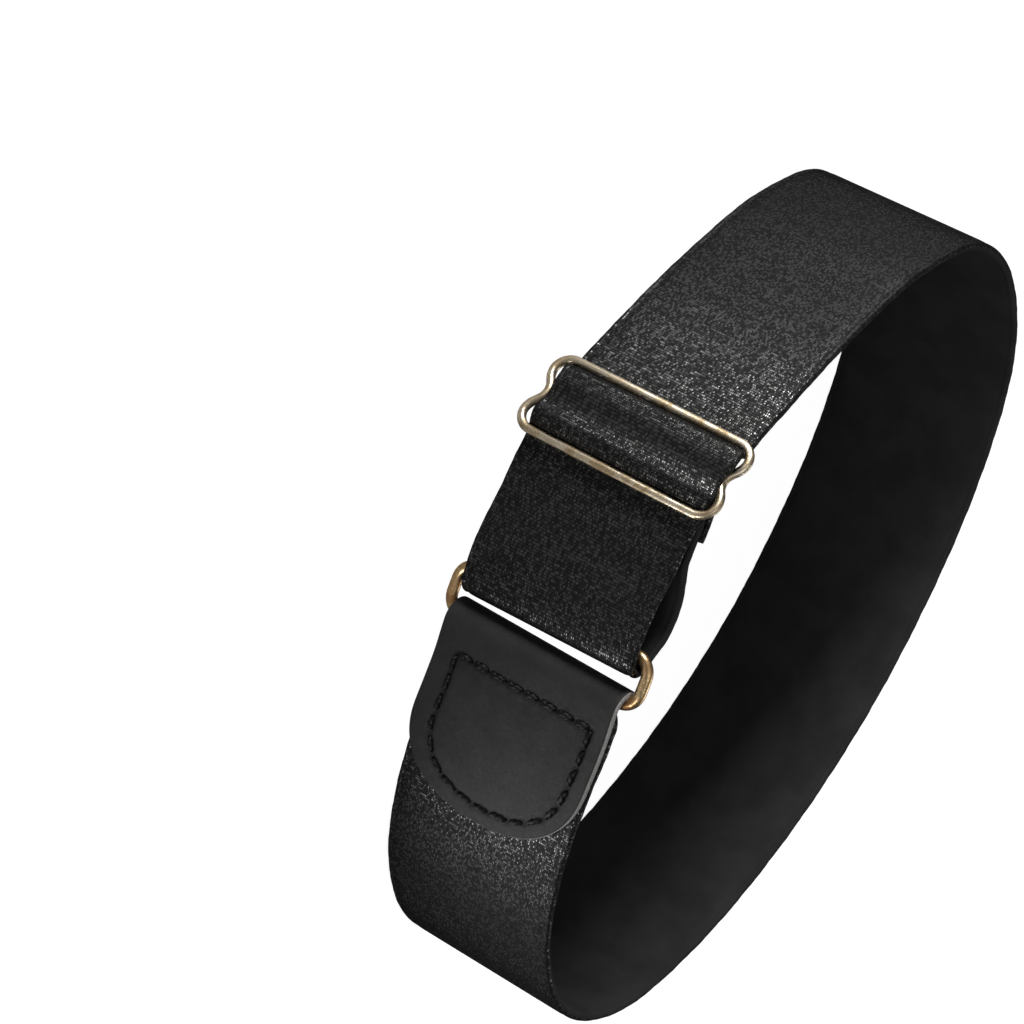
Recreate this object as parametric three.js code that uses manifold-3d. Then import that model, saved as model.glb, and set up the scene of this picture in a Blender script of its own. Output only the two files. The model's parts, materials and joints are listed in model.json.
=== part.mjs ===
// Sleeve garter: a loop of woven elastic with a double-loop slide adjuster, an oval wire ring
// and a leather tab. It stands on one edge of the elastic, as it does when laid on a table.
// Millimetres, +Z up, the fastenings towards -Y.
import * as THREE from 'three';
import { mergeVertices } from 'three/addons/utils/BufferGeometryUtils.js';
import Module from 'manifold-3d';

// Driving dimensions
const BAND_WIDTH = 30;
const BAND_THICKNESS = 1.4;
const LEATHER_THICKNESS = 1.4;
const LEATHER_WIDTH = 30.2;
const CLEARANCE = 0.3; // between pieces that lie against each other
const LAYER_GAP = 0.2; // between two layers of the band
const LAYER_PITCH = BAND_THICKNESS + LAYER_GAP; // from the centre of one layer to the next

// Slide adjuster: the place of its middle, the turn of its plane and its wire
const SLIDER = { x: -14.9, y: -49.3, turn: -18, barReach: 6.15, wireRadius: 0.7, width: 34.6 };
const SLIDER_BAR_SETBACK = 1; // the middle bar is soldered on behind the frame
const SLIDER_CORNER_RADIUS = 2.6;
const SLIDER_PINCH = 1.5; // how far the middle of each end is drawn in
const BAND_SQUEEZE = 0.85; // how far the pinch pushes in each edge of the band
const SQUEEZE_FULL_WITHIN = 2.5; // from the middle of the slider
const SQUEEZE_NONE_BEYOND = 7;
const LEAVING_SLOPE = 14.5; // degrees, where the layers leave the slider towards the ring

// Oval ring
const RING = { x: 15, y: -43.4, turn: 16, barReach: 3.7, wireRadius: 0.9, width: 35 };
const RING_CORNER_RADIUS = 2.6;
const BAND_FOLD_RADIUS = 2.3; // centre of the band's thickness, round the ring's first bar
const LEATHER_FOLD_RADIUS = 2.35; // centre of the leather's thickness, round the second bar

// Leather tab: where its sides end and its tip is, and how far its two layers follow the band
const TAB = { sideEnd: 32, tip: 43.4, stripLength: 26.5, roundness: 2.3 };
const FLAP = { start: 0.5, length: 12.5, width: 25.6 };
const TRIM = { depth: 5, excess: 8, margin: 1, shift: { x: 1, y: 0.3 } }; // what cuts the flap narrower

// The band rises towards the fastenings, so that the ring's end reaches down to the same plane
// as the edge of the band at the back. The band lies a little high in the ring.
const FRONT_RISE = 2.8;
const RISE_FULL_WITHIN = 24;
const RISE_NONE_BEYOND = 58;
const SLIDER_HEIGHT = BAND_WIDTH / 2 + FRONT_RISE;
const RING_HEIGHT = RING.width / 2;

// Middle of the band's thickness seen from above, from the sewn end in the tab round the +X end,
// the back and the -X end to the slider.
const LOOP_ROUTE = [
  { x: 22.5, y: -41.5 },
  { x: 31.5, y: -38.5 },
  { x: 39, y: -34.5 },
  { x: 47, y: -28.5 },
  { x: 56, y: -19.5 },
  { x: 62.5, y: -8.5 },
  { x: 64.5, y: 3 },
  { x: 61, y: 17 },
  { x: 50.5, y: 29.5 },
  { x: 36, y: 39.5 },
  { x: 17, y: 47 },
  { x: -6, y: 50 },
  { x: -34, y: 45.5 },
  { x: -55, y: 33.5 },
  { x: -65, y: 15.5 },
  { x: -65, y: -1 },
  { x: -57.5, y: -13.5 },
  { x: -45.5, y: -26 },
  { x: -34.5, y: -36.2 },
  { x: -26, y: -42.5 },
];
// The front layer between slider and ring, and the layer behind it on its way back
const FRONT_LAYER = [
  { x: -4, y: -49.2 },
  { x: -0.5, y: -48.8 },
  { x: 3.5, y: -48.1 },
  { x: 8, y: -47.2 },
];
const BACK_LAYER = [
  { x: 7, y: -40.9 },
  { x: 3.4, y: -41.6 },
  { x: 0.2, y: -43.9 },
  { x: -2.9, y: -46.3 },
];
const SEWN_END_LENGTH = 2.6; // of the sewn end beyond the slider's last bar
const SEWN_END_SLACK = 0.4; // how loosely it lies on the layer before it
const SEWN_END_SLOPE = 10; // degrees, along the layer before it
const SEWN_END_ANGLE = 250; // where the sewn end leaves the middle bar

// Fineness of the meshes
const STEPS_PER_SPAN = 5;
const WIRE_SIDES = 12;
const CORNER_STEPS = 4;
const ARC_STEP = 22;
const TIP_STEPS = 24;
const FRONT_POINTS = 7;
const FLAP_POINTS = 4;
const SAME_POINT = 1e-3;
const SAME_VERTEX = 1e-5;
const THROUGH_ALL = 80; // depth of a cut that goes through the whole front

// Corners of a strip's section, the left side of its route and its lower edge first
const STRIP_CORNERS = [
  { side: 1, end: -1 },
  { side: -1, end: -1 },
  { side: -1, end: 1 },
  { side: 1, end: 1 },
];

// Finishes
const BLACK_ELASTIC = { color: 0x1c1c1c, roughness: 0.85, metalness: 0 };
const ANTIQUE_BRASS = { color: 0x8c7b4f, roughness: 0.4, metalness: 1 };
const YELLOW_BRASS = { color: 0xb89a52, roughness: 0.35, metalness: 1 };
const GREY_LEATHER = { color: 0x303030, roughness: 0.7, metalness: 0 };

const rad = THREE.MathUtils.degToRad;

// A point of a fastening's own plane seen from above: along the band, and out towards the front.
function inPlane(place, along, out) {
  const turn = rad(place.turn);
  return new THREE.Vector2(
    place.x + along * Math.cos(turn) + out * Math.sin(turn),
    place.y + along * Math.sin(turn) - out * Math.cos(turn),
  );
}

// Points round a bar: the angle is 0 along the band and 90 out towards the front.
function roundBar(place, along, out, radius, from, to) {
  const count = Math.max(1, Math.round(Math.abs(to - from) / ARC_STEP));
  return Array.from({ length: count + 1 }, (_, i) => {
    const angle = rad(from + ((to - from) * i) / count);
    return inPlane(place, along + radius * Math.cos(angle), out + radius * Math.sin(angle));
  });
}

const toVector = ({ x, y }) => new THREE.Vector2(x, y);

function smoothCurve(points) {
  const spatial = points.map((p) => new THREE.Vector3(p.x, p.y, 0));
  return new THREE.CatmullRomCurve3(spatial, false, 'centripetal');
}

// The whole route of the band, through the slider and round the ring
function bandRoute() {
  const { barReach, wireRadius } = SLIDER;
  const setback = SLIDER_BAR_SETBACK;
  const wrap = wireRadius + CLEARANCE + BAND_THICKNESS / 2;
  const overWrap = wrap + LAYER_PITCH;
  const away = LEAVING_SLOPE;
  // The slope of the tangent that crosses from the far side of one bar to the near side of the next
  const crossing = Math.asin((wrap + overWrap) / Math.hypot(barReach, setback));
  const up = THREE.MathUtils.radToDeg(crossing - Math.atan(setback / barReach));
  const sewnRadius = overWrap + LAYER_PITCH + SEWN_END_SLACK;
  const [lastTurn] = roundBar(SLIDER, barReach, 0, sewnRadius, -90 - away, -90 - away);
  const sewnRun = inPlane({ x: 0, y: 0, turn: SEWN_END_SLOPE }, SEWN_END_LENGTH, 0);
  return [
    ...LOOP_ROUTE.map(toVector),
    ...roundBar(SLIDER, -barReach, 0, wrap, -90, up - 90),
    ...roundBar(SLIDER, 0, -setback, overWrap, 90 + up, 90 - up),
    ...roundBar(SLIDER, barReach, 0, wrap, -90 - up, -90 - away),
    ...FRONT_LAYER.map(toVector),
    ...roundBar(RING, -RING.barReach, 0, BAND_FOLD_RADIUS, 90, -80),
    ...BACK_LAYER.map(toVector),
    ...roundBar(SLIDER, barReach, 0, overWrap, -90 - away, -90 - up),
    ...roundBar(SLIDER, 0, -setback, wrap, 90 - up, SEWN_END_ANGLE),
    lastTurn,
    lastTurn.clone().add(sewnRun),
  ];
}

function samplePoints(curve, spans) {
  return curve.getPoints(spans * STEPS_PER_SPAN);
}

// Closed strip along a route seen from above, with four corners at each of its points
function stripGeometry(points, thickness, width) {
  const vertices = [];
  points.forEach((point, i) => {
    const before = points[Math.max(i - 1, 0)];
    const after = points[Math.min(i + 1, points.length - 1)];
    const left = new THREE.Vector2(before.y - after.y, after.x - before.x).setLength(thickness / 2);
    for (const { side, end } of STRIP_CORNERS) {
      const height = (BAND_WIDTH + end * width) / 2;
      vertices.push(point.x + side * left.x, point.y + side * left.y, height);
    }
  });
  const last = 4 * (points.length - 1);
  const indices = [0, 1, 2, 0, 2, 3, last, last + 2, last + 1, last, last + 3, last + 2];
  for (let start = 0; start < last; start += 4) {
    for (let corner = 0; corner < 4; corner += 1) {
      const here = start + corner;
      const beside = start + ((corner + 1) % 4);
      indices.push(here, here + 4, beside, beside, here + 4, beside + 4);
    }
  }
  const geometry = new THREE.BufferGeometry();
  geometry.setAttribute('position', new THREE.Float32BufferAttribute(vertices, 3));
  geometry.setIndex(indices);
  return geometry;
}

// Lifts the front of a soft piece by the rise of the band there
function liftFront(geometry) {
  const position = geometry.attributes.position;
  for (let i = 0; i < position.count; i += 1) {
    const reach = Math.abs(position.getX(i));
    const share = 1 - THREE.MathUtils.smoothstep(reach, RISE_FULL_WITHIN, RISE_NONE_BEYOND);
    if (position.getY(i) < 0) position.setZ(i, position.getZ(i) + FRONT_RISE * share);
  }
  return geometry;
}

// Closed round wire along a closed flat outline: outline x runs along the band, y up
function wireGeometry(outline, radius) {
  const points = outline
    .getPoints(CORNER_STEPS)
    .filter((point, i, all) => point.distanceTo(all[(i + 1) % all.length]) > SAME_POINT);
  const vertices = [];
  points.forEach((point, i) => {
    const before = points[(i + points.length - 1) % points.length];
    const after = points[(i + 1) % points.length];
    const normal = new THREE.Vector2(after.y - before.y, before.x - after.x).normalize();
    for (let side = 0; side < WIRE_SIDES; side += 1) {
      const angle = (side / WIRE_SIDES) * 2 * Math.PI;
      const out = radius * Math.cos(angle);
      vertices.push(point.x + normal.x * out, radius * Math.sin(angle), point.y + normal.y * out);
    }
  });
  const indices = [];
  for (let i = 0; i < points.length; i += 1) {
    const next = (i + 1) % points.length;
    for (let side = 0; side < WIRE_SIDES; side += 1) {
      const turn = (side + 1) % WIRE_SIDES;
      const corners = [i, next].flatMap((ring) => [ring * WIRE_SIDES + side, ring * WIRE_SIDES + turn]);
      indices.push(corners[0], corners[1], corners[2], corners[1], corners[3], corners[2]);
    }
  }
  const geometry = new THREE.BufferGeometry();
  geometry.setAttribute('position', new THREE.Float32BufferAttribute(vertices, 3));
  geometry.setIndex(indices);
  return geometry;
}

// Rounded rectangle whose long ends may be drawn in at their middle by the pinch
function fasteningOutline(halfHeight, halfWidth, corner, pinch) {
  const path = new THREE.Path();
  const inner = { x: halfHeight - corner, y: halfWidth - corner };
  const bend = inner.x / 2;
  path.absarc(inner.x, inner.y, corner, 0, Math.PI / 2);
  path.bezierCurveTo(bend, halfWidth, bend, halfWidth - pinch, 0, halfWidth - pinch);
  path.bezierCurveTo(-bend, halfWidth - pinch, -bend, halfWidth, -inner.x, halfWidth);
  path.absarc(-inner.x, inner.y, corner, Math.PI / 2, Math.PI);
  path.absarc(-inner.x, -inner.y, corner, Math.PI, 1.5 * Math.PI);
  path.bezierCurveTo(-bend, -halfWidth, -bend, pinch - halfWidth, 0, pinch - halfWidth);
  path.bezierCurveTo(bend, pinch - halfWidth, bend, -halfWidth, inner.x, -halfWidth);
  path.absarc(inner.x, -inner.y, corner, 1.5 * Math.PI, 2 * Math.PI);
  path.lineTo(halfHeight, inner.y);
  return path;
}

// Solids for joins and cuts
const wasm = await Module();
wasm.setup();

function toSolid(geometry) {
  const bare = geometry.clone();
  bare.deleteAttribute('normal');
  bare.deleteAttribute('uv');
  const merged = mergeVertices(bare, SAME_VERTEX);
  return new wasm.Manifold(
    new wasm.Mesh({
      numProp: 3,
      vertProperties: new Float32Array(merged.attributes.position.array),
      triVerts: new Uint32Array(merged.index.array),
    }),
  );
}

function toGeometry(solid) {
  const mesh = solid.getMesh();
  const geometry = new THREE.BufferGeometry();
  geometry.setAttribute('position', new THREE.BufferAttribute(mesh.vertProperties, 3));
  geometry.setIndex(new THREE.BufferAttribute(mesh.triVerts, 1));
  return geometry;
}

function namedMesh(name, geometry, finish) {
  geometry.computeVertexNormals();
  const mesh = new THREE.Mesh(geometry, new THREE.MeshStandardMaterial(finish));
  mesh.name = name;
  return mesh;
}

function placeFastening(mesh, place, height) {
  mesh.position.set(place.x, place.y, height);
  mesh.rotation.z = rad(place.turn);
  return mesh;
}

const route = bandRoute();
const bandCurve = smoothCurve(route);
const bandPoints = samplePoints(bandCurve, route.length - 1);

// Draws in the edges of the band where it passes the slider's pinched ends
function squeezeAtSlider(geometry) {
  const position = geometry.attributes.position;
  const middle = BAND_WIDTH / 2;
  for (let i = 0; i < position.count; i += 1) {
    const reach = Math.hypot(position.getX(i) - SLIDER.x, position.getY(i) - SLIDER.y);
    const share = 1 - THREE.MathUtils.smoothstep(reach, SQUEEZE_FULL_WITHIN, SQUEEZE_NONE_BEYOND);
    const scale = 1 - (BAND_SQUEEZE * share) / middle;
    position.setZ(i, middle + (position.getZ(i) - middle) * scale);
  }
  return geometry;
}

function elasticBand() {
  const strip = stripGeometry(bandPoints, BAND_THICKNESS, BAND_WIDTH);
  const geometry = liftFront(squeezeAtSlider(strip));
  return namedMesh('elastic_band', geometry, BLACK_ELASTIC);
}

function slideAdjuster() {
  const { barReach, wireRadius, width } = SLIDER;
  const halfWidth = width / 2 - wireRadius;
  const outline = fasteningOutline(barReach, halfWidth, SLIDER_CORNER_RADIUS, SLIDER_PINCH);
  const frame = wireGeometry(outline, wireRadius);
  const barLength = 2 * (halfWidth - SLIDER_PINCH);
  const bar = new THREE.CylinderGeometry(wireRadius, wireRadius, barLength, WIRE_SIDES);
  bar.rotateX(Math.PI / 2).translate(0, SLIDER_BAR_SETBACK, 0);
  const joined = toGeometry(toSolid(frame).add(toSolid(bar)));
  return placeFastening(namedMesh('slide_adjuster', joined, ANTIQUE_BRASS), SLIDER, SLIDER_HEIGHT);
}

function ovalRing() {
  const { barReach, wireRadius, width } = RING;
  const outline = fasteningOutline(barReach, width / 2 - wireRadius, RING_CORNER_RADIUS, 0);
  const geometry = wireGeometry(outline, wireRadius);
  return placeFastening(namedMesh('oval_ring', geometry, YELLOW_BRASS), RING, RING_HEIGHT);
}

// Points beside the band's own route, from one length along it to another
function besideBand(from, to, offset, count) {
  const total = bandCurve.getLength();
  return Array.from({ length: count }, (_, i) => {
    const share = (from + ((to - from) * i) / (count - 1)) / total;
    const point = bandCurve.getPointAt(share);
    const tangent = bandCurve.getTangentAt(share);
    return new THREE.Vector2(point.x + tangent.y * offset, point.y - tangent.x * offset);
  });
}

// Front view of the tab: straight sides and a blunt round end, x along the band, y up
function tabOutline() {
  const halfWidth = LEATHER_WIDTH / 2;
  const depth = TAB.tip - TAB.sideEnd;
  const shape = new THREE.Shape();
  shape.moveTo(0, -halfWidth);
  for (let i = 0; i <= TIP_STEPS; i += 1) {
    const angle = Math.PI * (i / TIP_STEPS - 0.5);
    const along = Math.abs(Math.cos(angle)) ** (2 / TAB.roundness);
    const across = Math.sign(Math.sin(angle)) * Math.abs(Math.sin(angle)) ** (2 / TAB.roundness);
    shape.lineTo(TAB.sideEnd + depth * along, halfWidth * across);
  }
  shape.lineTo(0, halfWidth);
  return shape;
}

function leatherTab() {
  const offset = BAND_THICKNESS / 2 + CLEARANCE + LEATHER_THICKNESS / 2;
  const tabRoute = [
    ...besideBand(TAB.stripLength, 1, offset, FRONT_POINTS),
    ...roundBar(RING, RING.barReach, 0, LEATHER_FOLD_RADIUS, 90, 270),
    ...besideBand(1, FLAP.length, -offset, FLAP_POINTS),
  ];
  const points = samplePoints(smoothCurve(tabRoute), tabRoute.length - 1);
  const strip = toSolid(stripGeometry(points, LEATHER_THICKNESS, LEATHER_WIDTH));

  const prism = new THREE.ExtrudeGeometry(tabOutline(), { depth: THROUGH_ALL, bevelEnabled: false });
  prism.rotateX(Math.PI / 2).translate(0, 0, BAND_WIDTH / 2);
  let solid = strip.intersect(toSolid(prism));

  // The return flap is narrower than the front, so both of its long edges are trimmed.
  const [start, end] = besideBand(FLAP.start, FLAP.length, -TRIM.depth / 2, 2);
  const run = end.clone().sub(start);
  const centre = start.clone().lerp(end, 0.5).add(toVector(TRIM.shift));
  const trimWidth = (LEATHER_WIDTH - FLAP.width) / 2 + TRIM.margin;
  for (const side of [-1, 1]) {
    const trim = new THREE.BoxGeometry(run.length() + TRIM.excess, TRIM.depth, trimWidth);
    trim.rotateZ(run.angle());
    trim.translate(centre.x, centre.y, BAND_WIDTH / 2 + (side * (FLAP.width + trimWidth)) / 2);
    solid = solid.subtract(toSolid(trim));
  }
  return namedMesh('leather_tab', liftFront(toGeometry(solid)), GREY_LEATHER);
}

// The origin ends up under the middle of the garter, in the plane that it stands on.
const garter = new THREE.Group();
const pieces = new THREE.Group();
pieces.add(elasticBand(), slideAdjuster(), ovalRing(), leatherTab());
garter.add(pieces);
garter.updateMatrixWorld(true);
const box = new THREE.Box3().setFromObject(garter, true);
pieces.position.set(-(box.min.x + box.max.x) / 2, -(box.min.y + box.max.y) / 2, -box.min.z);
garter.updateMatrixWorld(true);

export default garter;
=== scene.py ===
"""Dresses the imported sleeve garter: woven elastic, slider, ring, stitched leather tab and studio."""

import json
import math
import random
from bisect import bisect_left

import bmesh
import bpy
from bpy.props import FloatProperty, FloatVectorProperty, IntProperty, PointerProperty
from mathutils import Matrix, Vector

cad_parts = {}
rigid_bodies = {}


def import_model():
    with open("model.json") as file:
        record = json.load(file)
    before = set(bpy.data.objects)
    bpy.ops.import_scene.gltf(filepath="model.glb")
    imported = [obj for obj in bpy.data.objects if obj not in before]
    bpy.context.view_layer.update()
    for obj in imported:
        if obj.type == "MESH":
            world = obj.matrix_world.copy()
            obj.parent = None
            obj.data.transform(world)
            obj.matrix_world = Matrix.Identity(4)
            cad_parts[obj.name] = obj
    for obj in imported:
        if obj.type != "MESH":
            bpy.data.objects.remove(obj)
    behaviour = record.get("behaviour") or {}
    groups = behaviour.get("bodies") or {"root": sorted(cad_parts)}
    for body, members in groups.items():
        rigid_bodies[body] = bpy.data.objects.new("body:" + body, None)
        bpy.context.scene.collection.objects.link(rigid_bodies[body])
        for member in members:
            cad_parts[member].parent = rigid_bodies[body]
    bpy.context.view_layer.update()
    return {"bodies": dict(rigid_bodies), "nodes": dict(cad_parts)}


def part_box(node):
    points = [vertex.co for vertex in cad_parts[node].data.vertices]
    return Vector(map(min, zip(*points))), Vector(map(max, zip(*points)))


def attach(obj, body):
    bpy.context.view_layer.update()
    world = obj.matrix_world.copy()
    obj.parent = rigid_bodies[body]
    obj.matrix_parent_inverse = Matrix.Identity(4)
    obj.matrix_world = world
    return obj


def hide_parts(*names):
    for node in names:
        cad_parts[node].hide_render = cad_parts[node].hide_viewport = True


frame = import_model()

bl_info = {
    "name": "Sleeve Garter",
    "version": (1, 0, 0),
    "blender": (4, 5, 0),
    "location": "3D View > Sidebar > Garter",
    "description": "Makes the woven band, fastenings, leather tab and stitches of a sleeve garter",
    "category": "Add Mesh",
}

MM = 0.001
WELD = 1e-6
UP = Vector((0, 0, 1))
WHITE = (1.0, 1.0, 1.0, 1.0)

# Sizes of the solids. Lengths are in millimetres where nothing else is said
BAND_THICKNESS = 1.4
BAND_WIDTH = 30.0
LEATHER_THICKNESS = 1.4
LEATHER_CLEARANCE = 0.3
LEATHER_FOLD_RADIUS = 2.35
RING_WIRE_RADIUS = 0.9
SLIDER_WIRE_RADIUS = 0.7

# Half the band's thickness by the distance from its edge, with a rounded selvedge and a groove
BAND_PROFILE = (
    (0.0, 0.0), (0.04, 0.24), (0.12, 0.42), (0.25, 0.56), (0.42, 0.63), (0.6, 0.64), (0.78, 0.59),
    (0.95, 0.55), (1.15, 0.59), (1.4, 0.65), (1.8, 0.69), (2.4, 0.7),
)
BAND_INNER_COLUMNS = 7
# The unevenness of the band's edges: depth, pace and start, and its waves
LOW_EDGE_WAVER = (0.05, 0.9, 0.4)
HIGH_EDGE_WAVER = (0.06, 0.8, 2.2)
WAVES = ((1.0, 1.0, 0.5), (2.3, 1.7, 0.3), (4.1, 2.9, 0.2))
# The band's end in the tab: its extra length, and how far each edge draws in
TAB_END_REACH = 2.3
TAB_END_TAPER = 0.8

# The band's two ridges over the slider, by shares of the way from its middle bar to an outer one
HUMP_HEIGHT = 2.0
HUMP_RISE = (-0.98, -0.5)
HUMP_FALL = (1.0, 0.48)
VALLEY_DEPTH = 0.65
VALLEY_REACH = 0.45
VALLEY_PLACE = 0.12
# How much the band's edges spread there, the upper one more along the crests
SPREAD_LOW = 0.1
SPREAD_HIGH = 0.9
SPREAD_CREST = 1.2
SPREAD_RANGE = (1.2, 0.8)
CREST_RANGE = (0.9, 0.5)
VALLEY_NARROWING = 0.7
# How far past the outer bars, and how far out from the slider's middle, the band is shaped
SLIDER_MARGIN = 1.5
SLIDER_DEPTH = 6.0

# The strap's bow before its fold at the ring, by the length before the ring's bar
BOW_DEPTH = 1.0
BOW_GROWTH = (13.0, 6.0)
BOW_FALL = (-1.0, 5.0)
# How far the folds lie off square along the band, and how that changes with height
FOLD_SHIFT = 0.575
FOLD_SKEW = 0.0217
FOLD_SKEW_HEIGHT = 17.8
FOLD_SKEW_RANGE = (18.0, 3.0)
FOLD_SKEW_MARGIN = 2.0
LEATHER_SHIFT = 0.535
LEATHER_SKEW = -0.0123

# The leather's outline: lengths along the band, places along X, half widths, narrowing past the fold
TAB_FRONT = (26.5, 1.0)
TAB_FLAP = (1.0, 12.5)
TAB_SIDE_START = 20.0
TAB_SIDE_END = 32.75
TAB_TIP = 44.15
TAB_HALF_WIDTH = 15.1
FLAP_HALF_WIDTH = 12.8
FLAP_NARROWING = (0.3, 1.9)
# The power of the curve round the tip, where 2 is an ellipse and more is squarer
TAB_ROUNDNESS = 2.3
# Thickness of the leather by the distance from its cut edge, as a share of the whole
LEATHER_PROFILE = ((0.0, 0.62), (0.07, 0.8), (0.16, 0.92), (0.3, 0.98), (0.5, 1.0))
LEATHER_EDGE_COLUMNS = [distance for distance, _ in LEATHER_PROFILE]
RAW_EDGE_DEPTH = 0.16
# Steps between guiding points, rows of faces at the tip, and spacing of the routes' points
FRONT_STEPS = 6
FOLD_STEPS = 8
FLAP_STEPS = 3
TIP_ROWS = 46
TAB_SPACING = 0.2
BAND_SPACING = 0.5
HALVINGS = 40

# The stitches' outline on the leather, along X and up from the tab's middle
STITCH_START = 23.7
STITCH_SIDE_END = 33.5
STITCH_TIP = 41.9
STITCH_SIDE = 11.9
STITCH_RAISE = 0.6
STITCH_TIP_STEPS = 60
# The dent along the stitches' line and at their holes: share of the whole dent, and width. The same share
# paints shade into the leather's colour
LINE_DENT = (0.55, 0.55)
HOLE_DENT = (0.75, 0.4)
# A stitch's sinking as a share of the dent, and how much of it there is on the band's bare back
STITCH_SINK = 0.6
BARE_SINK = 0.6
# How far inside the flap's end a hole lies on the flap
FLAP_MARGIN = 0.8
# A stitch's length as a share of the pitch, its gap at a hole as a share, and its uneven height
STITCH_FILL = 0.88
STITCH_GAP = 0.07
STITCH_JITTER = 0.06
STITCH_SEED = 7
# A stitch's faces, twist, crest and drop at its ends, and how uneven it is
STITCH_SEGMENTS = 14
STITCH_RINGS = 22
TWIST_DEPTH = 0.2
TWIST_TURNS = 8
STITCH_CREST = 0.22
STITCH_DROP = 0.62
STITCH_STRETCH = (0.9, 1.12)
STITCH_ROLL = 0.5
# The upright row of stitches at the band's sewn end, measured from that end and from the lower edge
END_STITCHES = 9
END_STITCH_INSET = 1.1
END_STITCH_START = 2.6
END_STITCH_PITCH = 3.1
END_STITCH_HALF = 1.35
END_STITCH_SINK = 0.08

# The weave: its ribs' sway, how far its threads are staggered, and their bulge and gloss
SWAY_SCALE = 0.42
THREAD_STAGGER = 17.0
THREAD_BULGE = (0.3, 0.12)
THREAD_CROWN = 0.8
RIB_GLOSS = (0.35, 0.65)
THREAD_GLOSS = (0.95, 0.08)
THREAD_GLOSS_POWER = 2.4
# Scales of the materials' noise and cells, per metre
BAND_CLOUDS = 160.0
BAND_FUZZ = 4200.0
SLIDER_BLOTCHES = 420.0
RING_BLOTCHES = 260.0
FINE_BLOTCHES = 9
LEATHER_CLOUDS = 220.0
LEATHER_GRAIN = 1500.0
LEATHER_CELLS = 1900.0
LEATHER_FIBRES = 4200.0
THREAD_FUZZ = 3800.0
# Ranges that a value is spread from and, with four numbers, to
# GROUND_RANGE spreads the weave's height into painted shade in its low gaps
GROUND_RANGE = (0.0, 0.6)
PATCH_RANGE = (0.3, 0.65, 0.75, 1.0)
# SLANT_DARKNESS spreads the slant into painted shade
SLANT_DARKNESS = (0.35, 0.8, 0.0, 0.9)
SLANT_ROUGHNESS = (0.55, 0.85, 0.0, 0.4)
SHINE_ROUGHNESS = (0.0, 0.5, 0.6, 0.22)
SHINE_METAL = (0.0, 0.3, 0.0, 0.9)
INNER_RANGE = (0.4, 0.6)
BLOTCH_RANGE = (0.38, 0.62)
FLECK_RANGE = (0.35, 0.7, 0.0, 0.35)
AGED_METAL = (0.3, 1.0, 1.0, 0.8)
MOTTLING = (0.35, 0.65)
RAGGED_RANGE = (0.55, 0.95)
CREASE_RANGE = (0.0, 0.12)
LEATHER_ROUGHNESS = (0.3, 0.7, 0.6, 0.8)
THREAD_RANGE = (0.35, 0.7)
# Relief: strength and depth
OUTER_RELIEF = (1.0, 0.07)
INNER_RELIEF = (0.4, 0.06)
BRASS_RELIEF = (0.35, 0.04)
LEATHER_RELIEF = (0.5, 0.08)
THREAD_RELIEF = (0.6, 0.08)

# The camera's target, its place in the picture in pixels from the top left corner, and the picture
CAMERA_TARGET = (0.7517, 0.8241, 15.0)
TARGET_IN_PICTURE = (695.954, 591.180)
PICTURE_SIZE = 1024.0
FOCAL_PIXELS = 3439.056
SENSOR = 36.0
# The nearest and farthest that the camera sees, in metres
SIGHT = (0.01, 20.0)
# The floor as the camera sees it: its glow and its grey
FLOOR_GLOW = 0.93
FLOOR_GREY = 0.35
# The room's light by direction, forward and up, spread from and to these values
FRONT_LIGHT = (-0.8, 0.4, 0.12, 0.015)
ABOVE_LIGHT = (0.3, 1.0, 0.0, 0.075)
# Softboxes: name, place in metres, width, height or depth, power in watts
SOFTBOXES = (
    ("left_softbox", (-0.636, -0.338, 0.075), 0.26, 0.15, 6.2),
    ("right_softbox", (0.6, -0.4, 0.12), 0.22, 0.22, 1.5),
    ("top_softbox", (0.0, -0.4, 0.75), 0.7, 0.6, 1.0),
    ("back_softbox", (0.1, 0.6, 0.55), 0.6, 0.4, 1.4),
)
SOFTBOX_TARGET = (0.0, 0.0, 0.015)
# Glowing panels beside the garter, in the same form
PANELS = (
    ("left_panel", (-0.115, -0.081, 0.0005), 0.14, 0.055, 0.08),
    ("right_panel", (0.125, -0.06, 0.0005), 0.12, 0.05, 0.12),
)


def body_of_garter():
    return next(iter(frame["bodies"]))


def new_piece(name, mesh):
    piece = bpy.data.objects.new(name, mesh)
    bpy.context.scene.collection.objects.link(piece)
    return piece


def mesh_data(name, mesh):
    """The finished mesh, with smooth faces, as data of its own."""
    for face in mesh.faces:
        face.smooth = True
    data = bpy.data.meshes.new(name)
    mesh.to_mesh(data)
    mesh.free()
    return data


def evenly(start, end, steps):
    """Values from start to end, both included."""
    return [start + (end - start) * i / steps for i in range(steps + 1)]


def smooth(start, end, value):
    """0 at start and 1 at end, with soft ends."""
    share = min(1.0, max(0.0, (value - start) / (end - start)))
    return share * share * (3 - 2 * share)


def waver(along, depth, pace, start):
    """Slow smooth unevenness, no deeper than the given depth."""
    return depth * sum(share * math.sin(along * pace * speed + start * turn) for speed, turn, share in WAVES)


def between(keys, value):
    """The numbers of the two keys round a value, and its share of the way between them."""
    after = min(max(bisect_left(keys, value), 1), len(keys) - 1)
    before = after - 1
    return before, after, (value - keys[before]) / (keys[after] - keys[before])


def ramp(table, value):
    """Straight-line value from a table of (key, value) pairs, level outside it."""
    before, after, share = between([key for key, _ in table], value)
    low, high = table[before][1], table[after][1]
    return low + (high - low) * min(1.0, max(0.0, share))


def lengths_along(points):
    """Length of the line from its first point to each point, seen from above."""
    lengths = [0.0]
    for before, point in zip(points, points[1:]):
        lengths.append(lengths[-1] + (point.xy - before.xy).length)
    return lengths


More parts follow.
